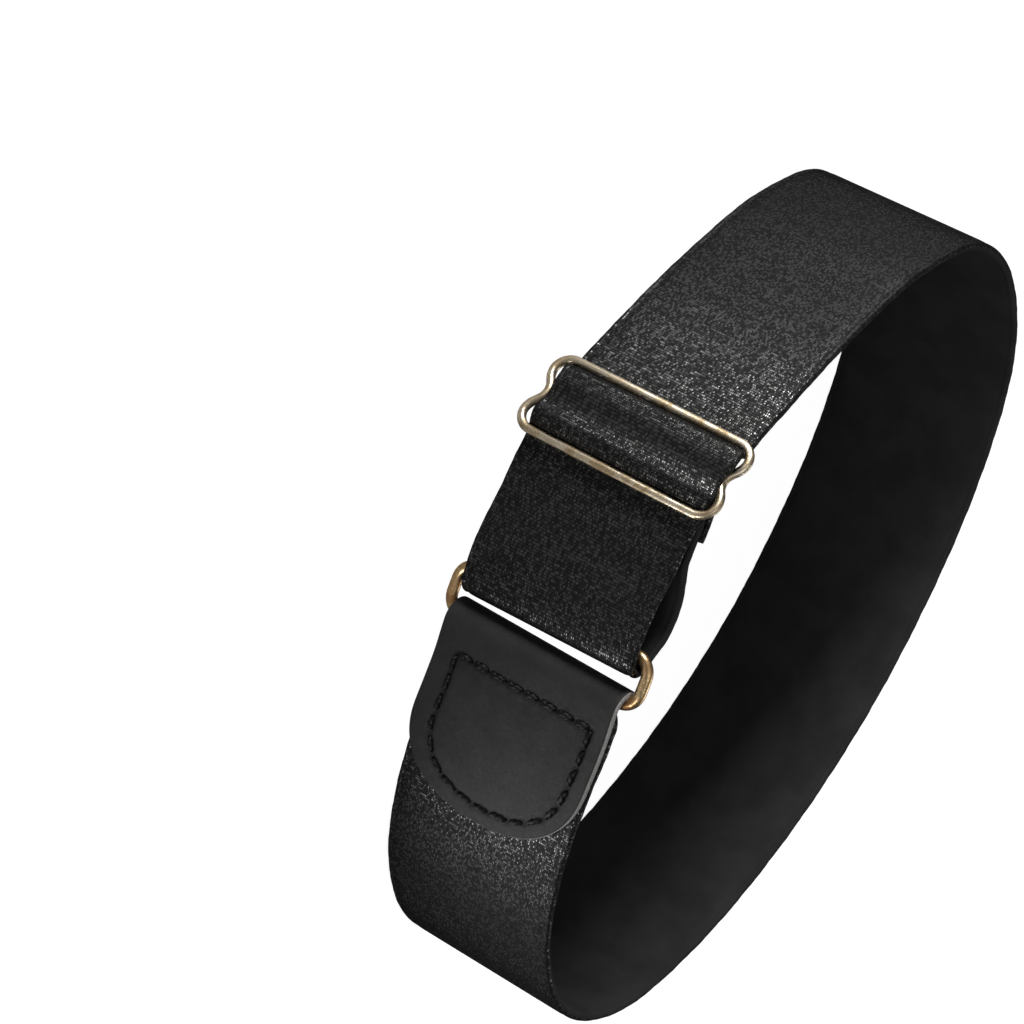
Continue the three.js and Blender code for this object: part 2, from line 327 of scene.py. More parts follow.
class Route:
    """A smooth line through points (x, y, low, high), seen from above, in millimetres."""

    def __init__(self, points, spacing):
        at = lengths_along(points)
        last = len(points) - 1
        slopes = []
        for i in range(len(points)):
            before, after = max(i - 1, 0), min(i + 1, last)
            slopes.append((points[after] - points[before]) / (at[after] - at[before]))
        self.points = []
        for i in range(last):
            run = at[i + 1] - at[i]
            steps = max(1, math.ceil(run / spacing))
            for step in range(steps):
                share = step / steps
                self.points.append(
                    points[i] * (2 * share**3 - 3 * share**2 + 1)
                    + slopes[i] * (run * (share**3 - 2 * share**2 + share))
                    + points[i + 1] * (3 * share**2 - 2 * share**3)
                    + slopes[i + 1] * (run * (share**3 - share**2))
                )
        self.points.append(points[last].copy())
        self.along = lengths_along(self.points)
        self.length = self.along[-1]
        self.outward = []
        for before, after in zip(self.points[:1] + self.points, self.points[1:] + self.points[-1:]):
            run = (after.xy - before.xy).normalized()
            self.outward.append(Vector((run.y, -run.x)))

    def at(self, along):
        """The point at a length along the route, and the direction out of its right side."""
        before, after, share = between(self.along, along)
        point = self.points[before].lerp(self.points[after], share)
        return point, self.outward[before].lerp(self.outward[after], share).normalized()

    def beside(self, along, offset):
        """A point (x, y, low, high) beside the route, out to its right."""
        point, outward = self.at(along)
        return Vector((*(point.xy + outward * offset), point.z, point.w))


def band_rings():
    """Cross-sections of the band's solid from its end in the leather tab, each as (x, y, low, high)."""
    mesh = bmesh.new()
    mesh.from_mesh(frame["nodes"]["elastic_band"].data)
    bmesh.ops.remove_doubles(mesh, verts=mesh.verts, dist=WELD)
    corners = [v for v in mesh.verts if sum(e.calc_face_angle(0) > 1 for e in v.link_edges) >= 3]
    first = max(corners, key=lambda v: v.co.x)
    ring = set(sorted(corners, key=lambda v: (v.co.xy - first.co.xy).length)[:4])
    seen, rings = set(ring), []
    while ring:
        if len(ring) != 4:
            raise RuntimeError("the band's solid isn't a strip of four-cornered sections")
        spots = sorted((v.co.z, v.co.x, v.co.y) for v in ring)
        low, high = (spots[0][0] + spots[1][0]) / 2, (spots[2][0] + spots[3][0]) / 2
        middle = Vector((sum(x for _, x, _ in spots), sum(y for _, _, y in spots))) / 4
        rings.append(Vector((*middle, low, high)) / MM)
        ring = {e.other_vert(v) for v in ring for e in v.link_edges} - seen
        seen |= ring
    mesh.free()
    return rings


def loft(mesh, rows, shared_ends):
    """Skins closed rows, each up one side and down the other, and closes both ends with ladders of faces.

    With shared ends, a row's two sides have their first and last points in common.
    """
    count = len(rows[0])
    for row, after in zip(rows, rows[1:]):
        for i in range(count):
            j = (i + 1) % count
            mesh.faces.new((row[i], after[i], after[j], row[j]))
    last = count if shared_ends else count - 1
    for row in (rows[0], rows[-1]):
        for i in range(last - count // 2):
            corners = (row[i], row[i + 1], row[last - i - 1], row[(last - i) % count])
            mesh.faces.new(list(dict.fromkeys(corners)))
    bmesh.ops.remove_doubles(mesh, verts=mesh.verts, dist=WELD / 2)
    bmesh.ops.recalc_face_normals(mesh, faces=mesh.faces)


def fill(tree, node, values):
    """Sets a node's inputs by name or number, each to a plain value or from another node's output."""
    for key, value in values.items():
        if isinstance(value, bpy.types.NodeSocket):
            tree.links.new(value, node.inputs[key])
        else:
            node.inputs[key].default_value = value


def add(tree, kind, values=None, **settings):
    """A shader node with its settings and inputs."""
    node = tree.nodes.new("ShaderNode" + kind)
    for name, value in settings.items():
        setattr(node, name, value)
    fill(tree, node, values or {})
    return node


def calc(tree, operation, *values):
    """The output of a Math node."""
    return add(tree, "Math", dict(enumerate(values)), operation=operation).outputs[0]


def blend(tree, share, first, second):
    """The output of a Mix node between two colours."""
    return add(tree, "Mix", {0: share, 6: first, 7: second}, data_type="RGBA").outputs[2]


def spread(tree, value, low, high, to_low=0.0, to_high=1.0):
    """The output of a clamped Map Range node."""
    values = {"Value": value, "From Min": low, "From Max": high, "To Min": to_low, "To Max": to_high}
    return add(tree, "MapRange", values).outputs[0]


def noise(tree, place, scale, detail, roughness=0.5, dimensions="3D"):
    """The output of a Noise Texture node."""
    values = {"Vector": place, "Scale": scale, "Detail": detail, "Roughness": roughness}
    return add(tree, "TexNoise", values, noise_dimensions=dimensions).outputs[0]


def bump(tree, height, strength, depth):
    """The normal from a Bump node, with its depth in millimetres."""
    values = {"Strength": strength, "Distance": depth * MM, "Height": height}
    return add(tree, "Bump", values).outputs[0]


def object_place(tree):
    return add(tree, "TexCoord").outputs["Object"]


def shade(colour, share=1.0):
    """An opaque colour, darkened to a share of itself."""
    return (*(value * share for value in colour), 1.0)


def new_group(name, inputs, outputs):
    """A group whose inputs are numbers, or a vector where the default is None, and outputs are numbers."""
    group = bpy.data.node_groups.new(name, "ShaderNodeTree")
    for label, default in inputs.items():
        kind = "NodeSocketVector" if default is None else "NodeSocketFloat"
        socket = group.interface.new_socket(label, in_out="INPUT", socket_type=kind)
        if default is not None:
            socket.default_value = default
    for label in outputs:
        group.interface.new_socket(label, in_out="OUTPUT", socket_type="NodeSocketFloat")
    return group, group.nodes.new("NodeGroupInput").outputs, group.nodes.new("NodeGroupOutput")


def use_group(tree, name, build, values):
    """The outputs of a node of a group, which is built the first time."""
    group = bpy.data.node_groups.get(name) or build(name)
    return add(tree, "Group", values, node_tree=group).outputs


def bare_tree(owner, output_kind):
    """The emptied node tree of a material or a world, and its output node."""
    owner.use_nodes = True
    tree = owner.node_tree
    tree.nodes.clear()
    return tree, tree.nodes.new(output_kind)


def new_material(name):
    """A material with its tree and its shader."""
    material = bpy.data.materials.new(name)
    tree, output = bare_tree(material, "ShaderNodeOutputMaterial")
    shader = add(tree, "BsdfPrincipled")
    fill(tree, output, {"Surface": shader.outputs[0]})
    return material, tree, shader


def build_weave(name):
    """Ribs across the band made of short threads of uneven height and gloss, with dull gaps between them."""
    inputs = {"Along": 0.0, "Across": 0.0, "Rib pitch": MM, "Thread width": MM, "Sway": 0.4, "Relief": 0.25}
    group, given, out = new_group(name, inputs, ("Height", "Gloss"))
    ribs = calc(group, "DIVIDE", given["Along"], given["Rib pitch"])
    threads = calc(group, "DIVIDE", given["Across"], given["Thread width"])
    flat = add(group, "CombineXYZ", {"X": ribs, "Y": threads}).outputs[0]
    sway = calc(group, "SUBTRACT", noise(group, flat, SWAY_SCALE, 2.0, dimensions="2D"), 0.5)
    ribs = calc(group, "MULTIPLY_ADD", sway, given["Sway"], ribs)
    rib, in_rib = calc(group, "FLOOR", ribs), calc(group, "FRACT", ribs)
    rib_chance = add(group, "TexWhiteNoise", {"W": rib}, noise_dimensions="1D").outputs["Value"]
    threads = calc(group, "MULTIPLY_ADD", rib_chance, THREAD_STAGGER, threads)
    thread, in_thread = calc(group, "FLOOR", threads), calc(group, "FRACT", threads)
    cell = add(group, "CombineXYZ", {"X": rib, "Y": thread}).outputs[0]
    chance = add(group, "TexWhiteNoise", {"Vector": cell}, noise_dimensions="3D").outputs["Value"]
    across_rib = calc(group, "SINE", calc(group, "MULTIPLY", in_rib, math.pi))
    along_thread = calc(group, "SINE", calc(group, "MULTIPLY", in_thread, math.pi))
    bulge = calc(group, "MULTIPLY", along_thread, calc(group, "MULTIPLY_ADD", chance, *THREAD_BULGE))
    height = calc(group, "MULTIPLY_ADD", across_rib, given["Relief"], bulge)
    crown = calc(group, "POWER", calc(group, "MULTIPLY", along_thread, across_rib), THREAD_CROWN)
    polish = calc(group, "MULTIPLY", calc(group, "MULTIPLY_ADD", rib_chance, *RIB_GLOSS), crown)
    shine = calc(group, "MULTIPLY_ADD", calc(group, "POWER", chance, THREAD_GLOSS_POWER), *THREAD_GLOSS)
    fill(group, out, {"Height": height, "Gloss": calc(group, "MULTIPLY", shine, polish)})
    return group


def build_patina(name):
    """Soft and fine blotches and long scratches that change a metal's colour and polish."""
    inputs = {"Vector": None, "Coarse scale": 300.0, "Fine scale": 2500.0}
    group, given, out = new_group(name, inputs, ("Blotch", "Fine", "Scratches"))
    coarse = noise(group, given["Vector"], given["Coarse scale"], 4.0, 0.6)
    fine = noise(group, given["Vector"], given["Fine scale"], 3.0)
    stretched = add(group, "Mapping", {"Vector": given["Vector"], "Scale": (1.0, 1.0, 0.08)})
    scratches = noise(group, stretched.outputs[0], given["Fine scale"], 2.0)
    fill(group, out, {"Blotch": spread(group, coarse, *BLOTCH_RANGE), "Fine": fine, "Scratches": scratches})
    return group


def outer_side(tree, settings, weave, cloud):
    """Shader values of the ribbed side: painted shade in the weave's low gaps, bright threads that are partly
    real gloss and partly a painted glint on their crests, and rougher with painted shade where seen at a
    slant.
    """
    dark = shade(settings.outer_colour, 0.2)
    # painted shade: the ground colour darkens to a fifth of itself where the weave's height is low, in the
    # gaps between threads
    depth = spread(tree, weave["Height"], *GROUND_RANGE)
    gap_shaded_ground = blend(tree, depth, dark, shade(settings.outer_colour))
    shine = calc(tree, "MULTIPLY", weave["Gloss"], spread(tree, cloud, *PATCH_RANGE))
    # partly real gloss, partly painted glint: the base colour brightens to the bright thread colour where the
    # thread crests are glossy, and the same mask makes them metallic and smoother
    crest_glints = blend(tree, shine, gap_shaded_ground, shade(settings.gloss_and_glint_colour))
    slant = add(tree, "LayerWeight", {"Blend": 0.5}).outputs["Facing"]
    polish = spread(tree, shine, *SHINE_ROUGHNESS)
    rough = calc(tree, "ADD", polish, spread(tree, slant, *SLANT_ROUGHNESS))
    return {
        # painted shade: the base colour darkens toward the dark ground colour where the band is seen at a
        # slant
        "Base Color": blend(tree, spread(tree, slant, *SLANT_DARKNESS), crest_glints, dark),
        "Roughness": calc(tree, "MINIMUM", rough, 1.0),
        "Metallic": spread(tree, shine, *SHINE_METAL),
    }


def inner_side(tree, settings, cloud):
    """Shader values of the smooth side."""
    light, dark = shade(settings.inner_colour), shade(settings.inner_colour, 0.8)
    colour = blend(tree, spread(tree, cloud, *INNER_RANGE), light, dark)
    return {"Base Color": colour, "Roughness": 0.85}


def elastic_material(name, settings, outer):
    """One side of the band, with the weave on the band's own map."""
    material, tree, shader = new_material(name)
    unrolled = add(tree, "UVMap", uv_map="weave").outputs[0]
    parts = add(tree, "SeparateXYZ", {"Vector": unrolled}).outputs
    sizes = {"Rib pitch": settings.rib_pitch, "Thread width": settings.thread_width}
    weave = use_group(tree, "weave", build_weave, {"Along": parts["X"], "Across": parts["Y"], **sizes})
    place = object_place(tree)
    cloud = noise(tree, place, BAND_CLOUDS, 3.0)
    fuzz = noise(tree, place, BAND_FUZZ, 2.0)
    if outer:
        fill(tree, shader, outer_side(tree, settings, weave, cloud))
        normal = bump(tree, calc(tree, "MULTIPLY_ADD", fuzz, 0.05, weave["Height"]), *OUTER_RELIEF)
    else:
        fill(tree, shader, inner_side(tree, settings, cloud))
        normal = bump(tree, calc(tree, "MULTIPLY_ADD", fuzz, 0.5, weave["Height"]), *INNER_RELIEF)
    fill(tree, shader, {"Normal": normal, "Specular IOR Level": 0.08})
    return material


def brass_material(name, bright, dark, roughness, blotch_scale):
    """Brass that is bright where it is rubbed and darker and duller where it has aged."""
    material, tree, shader = new_material(name)
    scales = {"Coarse scale": blotch_scale, "Fine scale": blotch_scale * FINE_BLOTCHES}
    patina = use_group(tree, "patina", build_patina, {"Vector": object_place(tree), **scales})
    fleck = spread(tree, patina["Fine"], *FLECK_RANGE)
    aged = calc(tree, "MINIMUM", calc(tree, "MULTIPLY_ADD", patina["Blotch"], 0.8, fleck), 1.0)
    dull = calc(tree, "MULTIPLY_ADD", aged, 0.22, roughness)
    relief = calc(tree, "MULTIPLY_ADD", patina["Scratches"], 0.6, patina["Fine"])
    fill(tree, shader, {
        "Base Color": blend(tree, aged, shade(bright), shade(dark)),
        "Roughness": calc(tree, "MULTIPLY_ADD", patina["Fine"], 0.12, dull),
        "Metallic": spread(tree, aged, *AGED_METAL),
        "Normal": bump(tree, relief, *BRASS_RELIEF),
    })
    return material


def leather_material(settings):
    """Grained leather with painted shade in the stitch dents and holes, pale and ragged at its cut edge."""
    material, tree, shader = new_material("grey_leather")
    place = object_place(tree)
    edge = add(tree, "Attribute", attribute_name="cut_edge").outputs["Fac"]
    dent_mask = add(tree, "Attribute", attribute_name="stitch_dent").outputs["Fac"]
    cells = add(tree, "TexVoronoi", {"Vector": place, "Scale": LEATHER_CELLS}, feature="DISTANCE_TO_EDGE")
    grain = noise(tree, place, LEATHER_GRAIN, 5.0, 0.65)
    cloud = noise(tree, place, LEATHER_CLOUDS, 4.0)
    fibres = noise(tree, place, LEATHER_FIBRES, 4.0, 0.7)
    clean, cut = settings.leather_colour, settings.edge_colour
    face = blend(tree, spread(tree, cloud, *MOTTLING), shade(clean), shade(clean, 0.72))
    # painted shade in the stitch dents and needle holes: the face darkens toward a quarter of its colour by
    # the dent's share
    dent_shaded = blend(tree, dent_mask, face, shade(clean, 0.25))
    raw = blend(tree, spread(tree, fibres, *MOTTLING), shade(cut), shade(cut, 0.35))
    ragged = spread(tree, calc(tree, "MULTIPLY_ADD", fibres, 0.5, edge), *RAGGED_RANGE)
    crease = spread(tree, cells.outputs["Distance"], *CREASE_RANGE)
    skin = calc(tree, "MULTIPLY_ADD", crease, 0.5, grain)
    fill(tree, shader, {
        "Base Color": blend(tree, ragged, dent_shaded, raw),
        "Roughness": spread(tree, grain, *LEATHER_ROUGHNESS),
        "Normal": bump(tree, calc(tree, "MULTIPLY_ADD", fibres, ragged, skin), *LEATHER_RELIEF),
        "Specular IOR Level": 0.25,
    })
    return material


def thread_material(settings):
    """Fuzzy black sewing thread."""
    material, tree, shader = new_material("black_thread")
    fuzz = noise(tree, object_place(tree), THREAD_FUZZ, 3.0, 0.6)
    dark, light = shade(settings.thread_colour, 0.5), shade(settings.thread_colour)
    fill(tree, shader, {
        "Base Color": blend(tree, spread(tree, fuzz, *THREAD_RANGE), dark, light),
        "Roughness": 0.5,
        "Normal": bump(tree, fuzz, *THREAD_RELIEF),
        "Specular IOR Level": 0.2,
    })
    return material


def millimetres(name, description, default):
    return FloatProperty(name=name, description=description, default=default * MM, unit="LENGTH", precision=5)


def degrees(name, description, default):
    return FloatProperty(name=name, description=description, default=math.radians(default), unit="ROTATION")


def rgb(name, description, *default):
    return FloatVectorProperty(name=name, description=description, default=default, subtype="COLOR", size=3)


class BandSettings(bpy.types.PropertyGroup):
    row_spacing: millimetres("Row spacing", "Distance between the band's rows of faces", 0.55)
    rib_pitch: millimetres("Rib pitch", "Distance between two ribs of the weave", 0.42)
    thread_width: millimetres("Thread width", "Width of one thread across the band", 0.3)
    outer_colour: rgb("Outer side", "Colour of the ribbed side", 0.003, 0.0029, 0.0029)
    inner_colour: rgb("Inner side", "Colour of the smooth side", 0.03, 0.03, 0.03)
    # the bright thread colour is the threads' real metallic reflection and, where they are not fully
    # metallic, a painted glint
    gloss_and_glint_colour: rgb("Bright thread", "Colour of the threads that shine", 0.19, 0.188, 0.185)


class FasteningSettings(bpy.types.PropertyGroup):
    smoothing: IntProperty(
        name="Smoothing", description="Subdivision levels of the wires", default=2, min=0, max=3
    )
    slider_bright: rgb("Slider, rubbed", "Colour of the rubbed metal", 0.97, 0.85, 0.66)
    slider_dark: rgb("Slider, aged", "Colour of the aged metal", 0.33, 0.24, 0.13)
    ring_bright: rgb("Ring, bright", "Colour of the ring's clean brass", 0.85, 0.62, 0.34)
    ring_dark: rgb("Ring, aged", "Colour of the ring's darker brass", 0.38, 0.2, 0.08)


class TabSettings(bpy.types.PropertyGroup):
    grid: millimetres("Grid", "Size of the leather's faces", 0.34)
    leather_colour: rgb("Leather", "Colour of the leather's face", 0.0195, 0.0193, 0.019)
    edge_colour: rgb("Cut edge", "Colour of the leather's raw edge", 0.5, 0.49, 0.48)
    thread_colour: rgb("Thread", "Colour of the sewing thread", 0.003, 0.003, 0.003)
    stitch_pitch: millimetres("Stitch pitch", "Length from one needle hole to the next", 3.1)
    thread_size: millimetres("Thread size", "Thickness of the sewing thread", 0.85)
    dent: millimetres("Dent", "How far the stitches draw the leather in", 0.3)


class StageSettings(bpy.types.PropertyGroup):
    elevation: degrees("Camera elevation", "Height of the camera over the floor as an angle", 24)
    roll: degrees("Camera roll", "Turn of the picture about the line of sight", 117.949)
    distance: millimetres("Camera distance", "From the camera to the garter's middle", 520)
    floor_size: millimetres("Floor size", "Side of the floor", 4000)
    floor_colour: rgb("Floor", "Colour of the floor as it lights the garter", 0.7, 0.7, 0.7)


class Fastening:
    """A wire fastening seen from above, in millimetres."""

    def __init__(self, node, wire_radius, rising):
        low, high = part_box(node)
        self.middle = (low + high).xy / 2 / MM
        half = (high - low).xy / 2 / MM - Vector((wire_radius, wire_radius))
        if not rising:
            half.y = -half.y
        self.reach = half.length
        self.along = half.normalized()
        self.out = Vector((self.along.y, -self.along.x))

    def bar(self, side):
        return self.middle + self.along * (self.reach * side)

    def seen_from(self, spot):
        """How far a spot is along the band and out to the front."""
        away = spot.xy - self.middle
        return away.dot(self.along), away.dot(self.out)


def ring_fastening():
    return Fastening("oval_ring", RING_WIRE_RADIUS, True)


def shape_at_slider(route):
    """Raises two ridges with a valley where the band first passes over the slider, and widens it there."""
    slider = Fastening("slide_adjuster", SLIDER_WIRE_RADIUS, False)
    inside = False
    for point in route.points:
        along, out = slider.seen_from(point)
        if abs(along) > slider.reach + SLIDER_MARGIN or abs(out) > SLIDER_DEPTH:
            if inside:
                break
            continue
        inside = True
        place = along / slider.reach
        valley = smooth(VALLEY_REACH, 0.0, abs(place - VALLEY_PLACE))
        over = smooth(*HUMP_RISE, place) * smooth(*HUMP_FALL, place)
        lift = over * (HUMP_HEIGHT - VALLEY_DEPTH * valley - out)
        point.xy += slider.out * lift
        widen = smooth(*SPREAD_RANGE, abs(place))
        point.z -= SPREAD_LOW * widen
        crest = smooth(*CREST_RANGE, abs(place)) * (1 - VALLEY_NARROWING * valley)
        point.w += (SPREAD_HIGH + SPREAD_CREST * crest) * widen


def skew_at_ring(point, height, ring):
    """How far the band's fold lies off square at the ring."""
    if point.x > ring.middle.x + FOLD_SKEW_MARGIN:
        return Vector((0, 0))
    share = smooth(*FOLD_SKEW_RANGE, (point.xy - ring.bar(-1)).length)
    return ring.along * (share * (FOLD_SHIFT + FOLD_SKEW * (FOLD_SKEW_HEIGHT - height)))


def bow_at_ring(point, ring):
    """How far the strap bows outward before its fold at the ring."""
    away, out = ring.seen_from(point)
    before = -ring.reach - away
    if out < 0 or before > BOW_GROWTH[0]:
        return 0.0
    return BOW_DEPTH * smooth(*BOW_GROWTH, before) * smooth(*BOW_FALL, before)


def band_columns():
    """Distances of the columns of points from the band's edge, short of its middle."""
    edge = [distance for distance, _ in BAND_PROFILE]
    inner = evenly(edge[-1], BAND_WIDTH / 2, BAND_INNER_COLUMNS)
    return edge + inner[1:-1]


def band_section(low, high, along, columns):
    """Points (z, half thickness) up the outer side of the band and, with a minus, down its inner side."""
    deep = BAND_PROFILE[-1][0]
    stretch = ((high - low) / 2 - deep) / (BAND_WIDTH / 2 - deep)
    insets = [min(distance, deep) + max(0.0, distance - deep) * stretch for distance in columns]
    halves = [ramp(BAND_PROFILE, distance) for distance in columns]
    lowest = low + LOW_EDGE_WAVER[0] + waver(along, *LOW_EDGE_WAVER)
    highest = high + waver(along, *HIGH_EDGE_WAVER)
    rise = [(lowest + inset, half) for inset, half in zip(insets, halves)]
    fall = [(highest - inset, half) for inset, half in zip(insets, halves)]
    outer = rise + [((low + high) / 2, BAND_THICKNESS / 2)] + fall[::-1]
    return outer + [(z, -half) for z, half in outer[-2:0:-1]]


def make_band_mesh(settings):
    """The band's mesh, with its map in metres along and across it, and the route of its middle."""
    rings = band_rings()
    inward = (rings[0].xy - rings[1].xy).normalized() * TAB_END_REACH
    route = Route([rings[0] + Vector((*inward, 0, 0))] + rings, settings.row_spacing / MM)
    shape_at_slider(route)
    ring = ring_fastening()
    columns = band_columns()
    mesh = bmesh.new()
    map_layer = mesh.loops.layers.uv.new("weave")
    rows, spots = [], {}
    for point, along, outward in zip(route.points, route.along, route.outward):
        middle = point.xy + ring.out * bow_at_ring(point, ring)
        taper = TAB_END_TAPER * max(0.0, 1 - along / TAB_END_REACH) ** 2
        row = []
        for z, half in band_section(point.z + taper, point.w - taper, along, columns):
            spot = middle + outward * half + skew_at_ring(point, z, ring)
            vert = mesh.verts.new(Vector((*spot, z)) * MM)
            spots[vert] = (along * MM, len(row))
            row.append(vert)
        rows.append(row)
    loft(mesh, rows, True)
    count = len(rows[0])
    outer = columns + [BAND_WIDTH / 2] + [BAND_WIDTH - distance for distance in reversed(columns)]
    across = outer + [2 * BAND_WIDTH - distance for distance in reversed(outer[:-1])]
    for face in mesh.faces:
        numbers = [spots[vert][1] for vert in face.verts]
        wraps = max(numbers) == count - 1 and min(numbers) == 0
        for corner in face.loops:
            along, number = spots[corner.vert]
            if wraps and number == 0:
                number = count
            corner[map_layer].uv = (along, across[number] * MM)
        face.material_index = 1 if wraps or sum(numbers) / len(numbers) > count // 2 else 0
    return mesh_data("woven_band", mesh), route


class GARTER_OT_make_band(bpy.types.Operator):
    """Weaves the band along the middle of its solid, with selvedges and two different sides"""

    bl_idname = "garter.make_band"
    bl_label = "Make woven band"

    def execute(self, context):
        settings = context.scene.garter_band
        data, route = make_band_mesh(settings)
        band = new_piece("woven_band", data)
        data.materials.append(elastic_material("woven_outer_side", settings, True))
        data.materials.append(elastic_material("woven_inner_side", settings, False))
        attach(band, body_of_garter())
        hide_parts("elastic_band")
        return {"FINISHED"}


def smooth_wire(name, node, levels):
    """A copy of a wire's solid with round, smooth sides."""
    mesh = bmesh.new()
    mesh.from_mesh(frame["nodes"][node].data)
    bmesh.ops.remove_doubles(mesh, verts=mesh.verts, dist=WELD)
    bend = math.radians(60)
    bmesh.ops.join_triangles(mesh, faces=mesh.faces, angle_face_threshold=bend, angle_shape_threshold=bend)
    piece = new_piece(name, mesh_data(name, mesh))
    bpy.context.view_layer.objects.active = piece
    modifier = piece.modifiers.new("Smoothing", "SUBSURF")
    modifier.levels = levels
    modifier.render_levels = levels
    bpy.ops.object.modifier_apply(modifier=modifier.name)
    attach(piece, body_of_garter())
    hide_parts(node)
    return piece


class GARTER_OT_make_slider(bpy.types.Operator):
    """Makes the antique slide adjuster"""

    bl_idname = "garter.make_slider"
    bl_label = "Make slide adjuster"

    def execute(self, context):
        settings = context.scene.garter_fastenings
        slider = smooth_wire("slider_wire", "slide_adjuster", settings.smoothing)
        bright, dark = settings.slider_bright, settings.slider_dark
        slider.data.materials.append(brass_material("antique_brass", bright, dark, 0.18, SLIDER_BLOTCHES))
        return {"FINISHED"}


class GARTER_OT_make_ring(bpy.types.Operator):
    """Makes the oval ring"""

    bl_idname = "garter.make_ring"
    bl_label = "Make oval ring"

    def execute(self, context):
        settings = context.scene.garter_fastenings
        ring = smooth_wire("ring_wire", "oval_ring", settings.smoothing)
        bright, dark = settings.ring_bright, settings.ring_dark
        ring.data.materials.append(brass_material("yellow_brass", bright, dark, 0.16, RING_BLOTCHES))
        return {"FINISHED"}


def rounded(value):
    """A sine or cosine as it is on the curve round the tab's tip."""
    return math.copysign(abs(value) ** (2 / TAB_ROUNDNESS), value)


class TabShape:
    """The folded leather: its route from the round tip, round the ring's bar, to the flap's end."""

    def __init__(self, band, grid):
        self.grid = grid
        self.offset = (BAND_THICKNESS + LEATHER_THICKNESS) / 2 + LEATHER_CLEARANCE
        ring = ring_fastening()
        bar = ring.bar(1)
        near = band.at(TAB_FLAP[0])[0]
        controls = [band.beside(along, self.offset) for along in evenly(*TAB_FRONT, FRONT_STEPS)]
        for turn in evenly(math.pi / 2, math.pi * 3 / 2, FOLD_STEPS):
            turned = ring.along * math.cos(turn) + ring.out * math.sin(turn)
            spot = bar + turned * LEATHER_FOLD_RADIUS
            controls.append(Vector((*spot, near.z, near.w)))
        controls += [band.beside(along, -self.offset) for along in evenly(*TAB_FLAP, FLAP_STEPS)]
        self.route = Route(controls, TAB_SPACING)
        self.fold_start = self.first_left_of(bar.x + LEATHER_FOLD_RADIUS)
        self.fold_end = self.fold_start + math.pi * LEATHER_FOLD_RADIUS
        self.tip_start = self.first_left_of(TAB_TIP)

    def first_left_of(self, x):
        """Length along the route at its first point left of x."""
        return next(along for along, point in zip(self.route.along, self.route.points) if point.x < x)

    def along_at(self, x):
        """Length along the route at which the front face passes x."""
        low, high = 0.0, self.fold_start
        for _ in range(HALVINGS):
            middle = (low + high) / 2
            if self.route.at(middle)[0].x > x:
                low = middle
            else:
                high = middle
        return (low + high) / 2

    def tip_share(self, along):
        """How far into the round tip a length along the route is, from 0 to 1, or 0 outside the tip."""
        if along >= self.fold_start:
            return 0.0
        past = self.route.at(along)[0].x - TAB_SIDE_END
        return max(0.0, past / (TAB_TIP - TAB_SIDE_END))

    def half_width(self, along):
        share = self.tip_share(along)
        if share > 0:
            return TAB_HALF_WIDTH * (1 - min(1.0, share) ** TAB_ROUNDNESS) ** (1 / TAB_ROUNDNESS)
        narrowing = smooth(*FLAP_NARROWING, along - self.fold_end)
        return TAB_HALF_WIDTH + (FLAP_HALF_WIDTH - TAB_HALF_WIDTH) * narrowing

    def from_edge(self, along, height):
        """Distance from the leather's outline on its face."""
        forward, sideways = self.tip_share(along), abs(height) / TAB_HALF_WIDTH
        if forward == 0:
            return max(0.0, min(self.half_width(along) - abs(height), self.route.length - along))
        depth = TAB_TIP - TAB_SIDE_END
        level = (forward**TAB_ROUNDNESS + sideways**TAB_ROUNDNESS) ** (1 / TAB_ROUNDNESS)
        power = TAB_ROUNDNESS - 1
        slope = math.hypot((forward / level) ** power / depth, (sideways / level) ** power / TAB_HALF_WIDTH)
        return max(0.0, (1 - level) / slope)

    def rows(self):
        """Lengths along the route for the grid's rows, close together at the tip and at the flap's end."""
        depth = TAB_TIP - TAB_SIDE_END
        rows = [self.tip_start]
        for turn in evenly(math.pi / 2, 0.0, TIP_ROWS)[1:]:
            rows.append(self.along_at(TAB_SIDE_END + depth * rounded(math.sin(turn))))
        start, end = rows[-1], self.route.length - LEATHER_EDGE_COLUMNS[-1]
        rows += evenly(start, end, math.ceil((end - start) / self.grid))[1:]
        return rows + [self.route.length - distance for distance in reversed(LEATHER_EDGE_COLUMNS[:-1])]

    def columns(self):
        """Heights for the grid's columns as shares of the half width."""
        inner = TAB_HALF_WIDTH - LEATHER_EDGE_COLUMNS[-1]
        middle = evenly(-inner, inner, math.ceil(2 * inner / self.grid))
        edge = [TAB_HALF_WIDTH - distance for distance in LEATHER_EDGE_COLUMNS[:-1]]
        return [value / TAB_HALF_WIDTH for value in [-value for value in edge] + middle + edge[::-1]]


def stitch_outline(pitch):
    """Needle holes round the tab's front, as (x, height from the tab's middle)."""
    line = [Vector((STITCH_START, side)) for side in (-STITCH_SIDE, STITCH_SIDE)]
    depth = STITCH_TIP - STITCH_SIDE_END
    around = [line[1]]
    for turn in evenly(math.pi / 2, -math.pi / 2, STITCH_TIP_STEPS):
        x = STITCH_SIDE_END + depth * rounded(abs(math.cos(turn)))
        around.append(Vector((x, STITCH_SIDE * rounded(math.sin(turn)))))
    around.append(line[0])
    holes = []
    for path in (line, around):
        at = lengths_along(path)
        count = round(at[-1] / pitch)
        for i in range(count):
            before, after, share = between(at, at[-1] * i / count)
            holes.append(path[before].lerp(path[after], share))
    return [Vector((hole.x, hole.y + STITCH_RAISE)) for hole in holes]


def plan_tab(settings):
    """The band's route, the leather's shape and the needle holes."""
    band = Route(band_rings(), BAND_SPACING)
    return band, TabShape(band, settings.grid / MM), stitch_outline(settings.stitch_pitch / MM)


